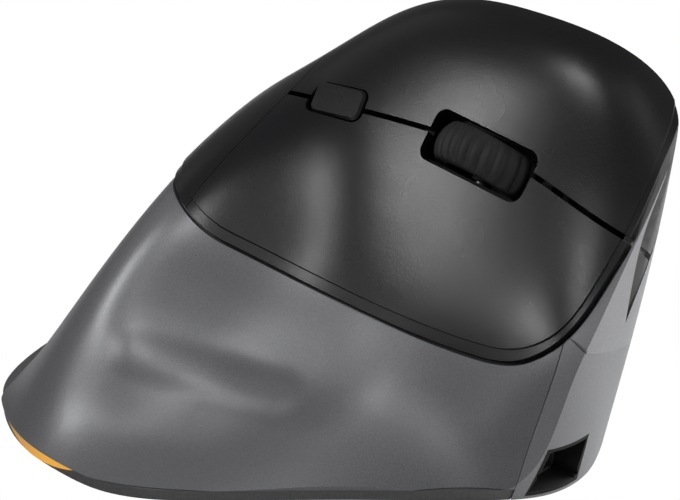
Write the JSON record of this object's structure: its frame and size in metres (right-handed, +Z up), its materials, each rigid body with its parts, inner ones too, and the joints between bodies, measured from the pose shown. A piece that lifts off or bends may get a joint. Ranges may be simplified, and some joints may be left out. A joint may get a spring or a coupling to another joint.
{
  "type": "vertical ergonomic mouse",
  "caption": "Vertical ergonomic mouse: a tilted hand rest with finger keys, scroll wheel, thumb buttons and a flared skirt.",
  "frame": {"origin": "middle of the underside, on the desk", "axes": "+Y to the front, +X to the finger side, +Z up"},
  "size_m": [0.0898, 0.1078, 0.0702],
  "materials": {
    "satin_black": "satin",
    "shell_grey": "satin",
    "nose_grey": "satin",
    "thumb_grey": "satin",
    "base_grey": "matte",
    "amber": "translucent",
    "tyre_rubber": "matte",
    "black_plastic": "matte",
    "steel": "brushed",
    "board_green": "solder mask",
    "chip_black": "matte",
    "lens_clear": "clear",
    "foil_silver": "foil",
    "foam_grey": "foam",
    "glide_white": "slick",
    "cable_white": "film"
  },
  "bodies": {
    "housing": {"base_plate": "base_grey", "skirt_shell": "shell_grey", "thumb_shell": "thumb_grey", "front_nose": "nose_grey", "port_liner": "black_plastic", "usb_socket": "steel", "palm_cover": "satin_black", "dpi_switch": "chip_black", "carrier_pin": "steel", "encoder_emitter": "chip_black", "encoder_receiver": "chip_black", "middle_click_switch": "chip_black", "left_switch": "chip_black", "right_switch": "chip_black", "switch_board": "board_green", "switch_board_screws": "steel", "chassis": "black_plastic", "side_board": "board_green", "side_switches": "chip_black", "side_board_screws": "steel", "light_strip": "amber", "strip_board": "board_green", "main_board": "board_green", "main_board_screws": "steel", "sensor_chip": "chip_black", "sensor_lens": "lens_clear", "controller_chip": "chip_black", "battery": "foil_silver", "battery_pad": "foam_grey", "ribbon_cable": "cable_white", "ribbon_sockets": "cable_white", "power_switch": "chip_black", "glide_feet": "glide_white", "base_screws": "steel"},
    "left_key": {"left_button": "satin_black"},
    "right_key": {"right_button": "satin_black"},
    "dpi_key": {"dpi_button": "satin_black"},
    "wheel_cradle": {"wheel_carrier": "black_plastic"},
    "wheel": {"wheel_tyre": "tyre_rubber", "wheel_hub": "black_plastic", "wheel_axle": "steel"},
    "left_switch_plunger": {"left_plunger": "cable_white"},
    "right_switch_plunger": {"right_plunger": "cable_white"},
    "forward_key": {"forward_button": "satin_black"},
    "back_key": {"back_button": "satin_black"},
    "power_slider": {"power_knob": "black_plastic"}
  },
  "joints": [
    {"name": "left_click", "type": "hinge", "parent": "housing", "child": "left_key", "pos_m": [-0.02884, -0.025, 0.04789], "axis": [-0.6428, 0, 0.766], "range_deg": [0, 0.35], "stiffness_Nm_per_rad": 3, "springref_deg": -0.57},
    {"name": "left_plunger_slide", "type": "slide", "parent": "housing", "child": "left_switch_plunger", "axis": [-0.766, 0, -0.6428], "range_m": [0, 0.000395]},
    {"name": "right_click", "type": "hinge", "parent": "housing", "child": "right_key", "pos_m": [-0.02884, -0.025, 0.04789], "axis": [-0.6428, 0, 0.766], "range_deg": [0, 0.35], "stiffness_Nm_per_rad": 3, "springref_deg": -0.57},
    {"name": "right_plunger_slide", "type": "slide", "parent": "housing", "child": "right_switch_plunger", "axis": [-0.766, 0, -0.6428], "range_m": [0, 0.000395]},
    {"name": "dpi_press", "type": "slide", "parent": "housing", "child": "dpi_key", "axis": [-0.766, 0, -0.6428], "range_m": [0, 0.00025], "stiffness_N_per_m": 800, "springref_m": -0.0004},
    {"name": "wheel_click", "type": "hinge", "parent": "housing", "child": "wheel_cradle", "pos_m": [-0.03052, 0.0323, 0.04289], "axis": [0.638, -0.1219, -0.7603], "range_deg": [0, 0.8], "stiffness_Nm_per_rad": 1.5, "springref_deg": -1.15},
    {"name": "wheel_spin", "type": "hinge", "parent": "wheel_cradle", "child": "wheel", "pos_m": [-0.03082, 0.0188, 0.0448], "axis": [0.638, -0.1219, -0.7603], "continuous": true},
    {"name": "forward_press", "type": "slide", "parent": "housing", "child": "forward_key", "axis": [1, 0, 0], "range_m": [0, 0.0006], "stiffness_N_per_m": 700, "springref_m": -0.0004},
    {"name": "back_press", "type": "slide", "parent": "housing", "child": "back_key", "axis": [1, 0, 0], "range_m": [0, 0.0006], "stiffness_N_per_m": 700, "springref_m": -0.0004},
    {"name": "power_slide", "type": "slide", "parent": "housing", "child": "power_slider", "axis": [0, 1, 0], "range_m": [0, 0.002]}
  ],
  "couplings": [
    {"joint": "left_plunger_slide", "follows": "left_click", "m_per_rad": 0.0645},
    {"joint": "right_plunger_slide", "follows": "right_click", "m_per_rad": 0.0645}
  ]
}
